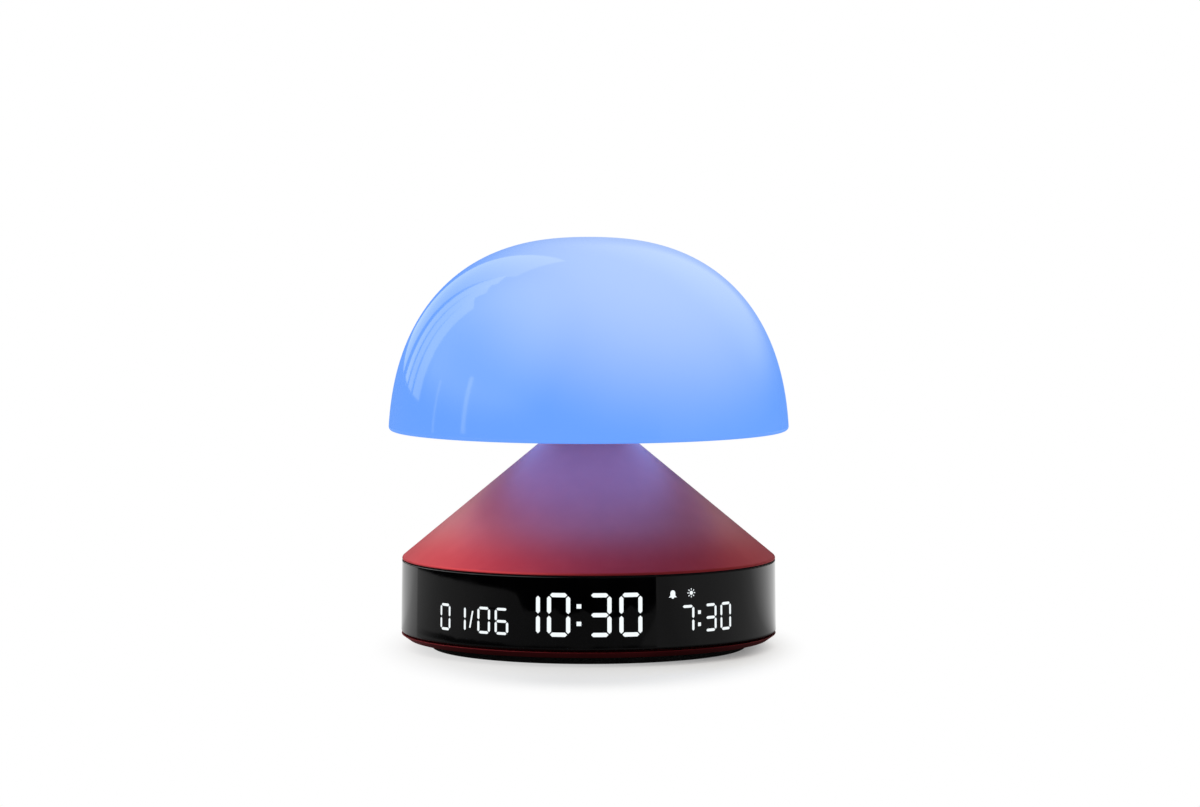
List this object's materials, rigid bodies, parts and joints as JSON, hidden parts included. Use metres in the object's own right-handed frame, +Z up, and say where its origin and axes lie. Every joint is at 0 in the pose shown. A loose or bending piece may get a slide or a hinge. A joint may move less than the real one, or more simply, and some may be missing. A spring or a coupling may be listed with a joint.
{
  "type": "sunrise alarm clock",
  "caption": "Mushroom-shaped bedside sunrise clock: opal dome light that presses down, red aluminium cone, black display band with white figures, rear keys.",
  "frame": {"origin": "on the surface the clock stands on, under the middle of the foot", "axes": "+Z up through the top of the shade; the display faces -Y; +X is to the viewer's right"},
  "size_m": [0.1148, 0.1148, 0.1177],
  "materials": {
    "opal_shade": "gloss",
    "opal_diffuser": "satin",
    "red_aluminium": "satin",
    "gloss_black": "gloss",
    "lit_white": "gloss",
    "black_rubber": "matte",
    "black_plastic": "matte",
    "white_plastic": "matte",
    "key_plastic": "satin",
    "dark_metal": "satin",
    "steel": "satin",
    "bright_steel": "polished",
    "white_board": "satin",
    "green_board": "satin",
    "led_package": "gloss",
    "chip_black": "matte",
    "capacitor_tan": "satin",
    "magnet_grey": "satin",
    "speaker_paper": "matte",
    "foam_grey": "matte",
    "battery_wrap": "satin",
    "red_wire": "satin",
    "grey_wire": "satin"
  },
  "bodies": {
    "base": {"light_harness": "grey_wire", "return_spring": "steel", "switch_board": "green_board", "head_switch": "chip_black", "stem": "steel", "stem_cap": "steel", "stem_screws": "steel", "neck_collar": "dark_metal", "cone_shell": "red_aluminium", "seal_ring": "black_rubber", "deck_plate": "black_plastic", "deck_screws": "steel", "chassis": "black_plastic", "time_digits": "lit_white", "date_digits": "lit_white", "alarm_digits": "lit_white", "status_icons": "lit_white", "display_band": "gloss_black", "light_box": "white_plastic", "display_board": "green_board", "display_leds": "led_package", "rear_board": "green_board", "key_switches": "chip_black", "usb_shell": "bright_steel", "usb_tongue": "chip_black", "main_board": "green_board", "board_screws": "steel", "main_chip": "chip_black", "clock_crystal": "bright_steel", "board_capacitors": "capacitor_tan", "board_headers": "white_plastic", "battery_pack": "battery_wrap", "battery_lead": "red_wire", "speaker_frame": "steel", "speaker_magnet": "magnet_grey", "speaker_cone": "speaker_paper", "speaker_gasket": "foam_grey", "speaker_lead": "grey_wire", "base_cover": "black_plastic", "base_screws": "steel", "base_ring": "red_aluminium", "rubber_foot": "black_rubber"},
    "head": {"shade_dome": "opal_shade", "shade_diffuser": "opal_diffuser", "head_retainer": "white_plastic", "head_screws": "steel", "head_hub": "white_plastic", "light_board": "white_board", "light_board_screws": "steel", "light_leds": "led_package", "head_switch_plunger": "white_plastic"},
    "plus_key": {"plus_key": "key_plastic", "plus_key_plunger": "white_plastic"},
    "minus_key": {"minus_key": "key_plastic", "minus_key_plunger": "white_plastic"},
    "alarm_key": {"alarm_key": "key_plastic", "alarm_key_plunger": "white_plastic"},
    "clock_key": {"clock_key": "key_plastic", "clock_key_plunger": "white_plastic"}
  },
  "joints": [
    {"name": "head_press", "type": "slide", "parent": "base", "child": "head", "axis": [0, 0, -1], "range_m": [0, 0.0012], "stiffness_N_per_m": 1000, "springref_m": -0.002, "deforming": ["return_spring", "light_harness"]},
    {"name": "plus_key_press", "type": "slide", "parent": "base", "child": "plus_key", "axis": [0, -1, 0], "range_m": [0, 0.0006], "stiffness_N_per_m": 1500, "springref_m": -0.0004},
    {"name": "minus_key_press", "type": "slide", "parent": "base", "child": "minus_key", "axis": [0, -1, 0], "range_m": [0, 0.0006], "stiffness_N_per_m": 1500, "springref_m": -0.0004},
    {"name": "alarm_key_press", "type": "slide", "parent": "base", "child": "alarm_key", "axis": [0, -1, 0], "range_m": [0, 0.0006], "stiffness_N_per_m": 1500, "springref_m": -0.0004},
    {"name": "clock_key_press", "type": "slide", "parent": "base", "child": "clock_key", "axis": [0, -1, 0], "range_m": [0, 0.0006], "stiffness_N_per_m": 1500, "springref_m": -0.0004}
  ]
}
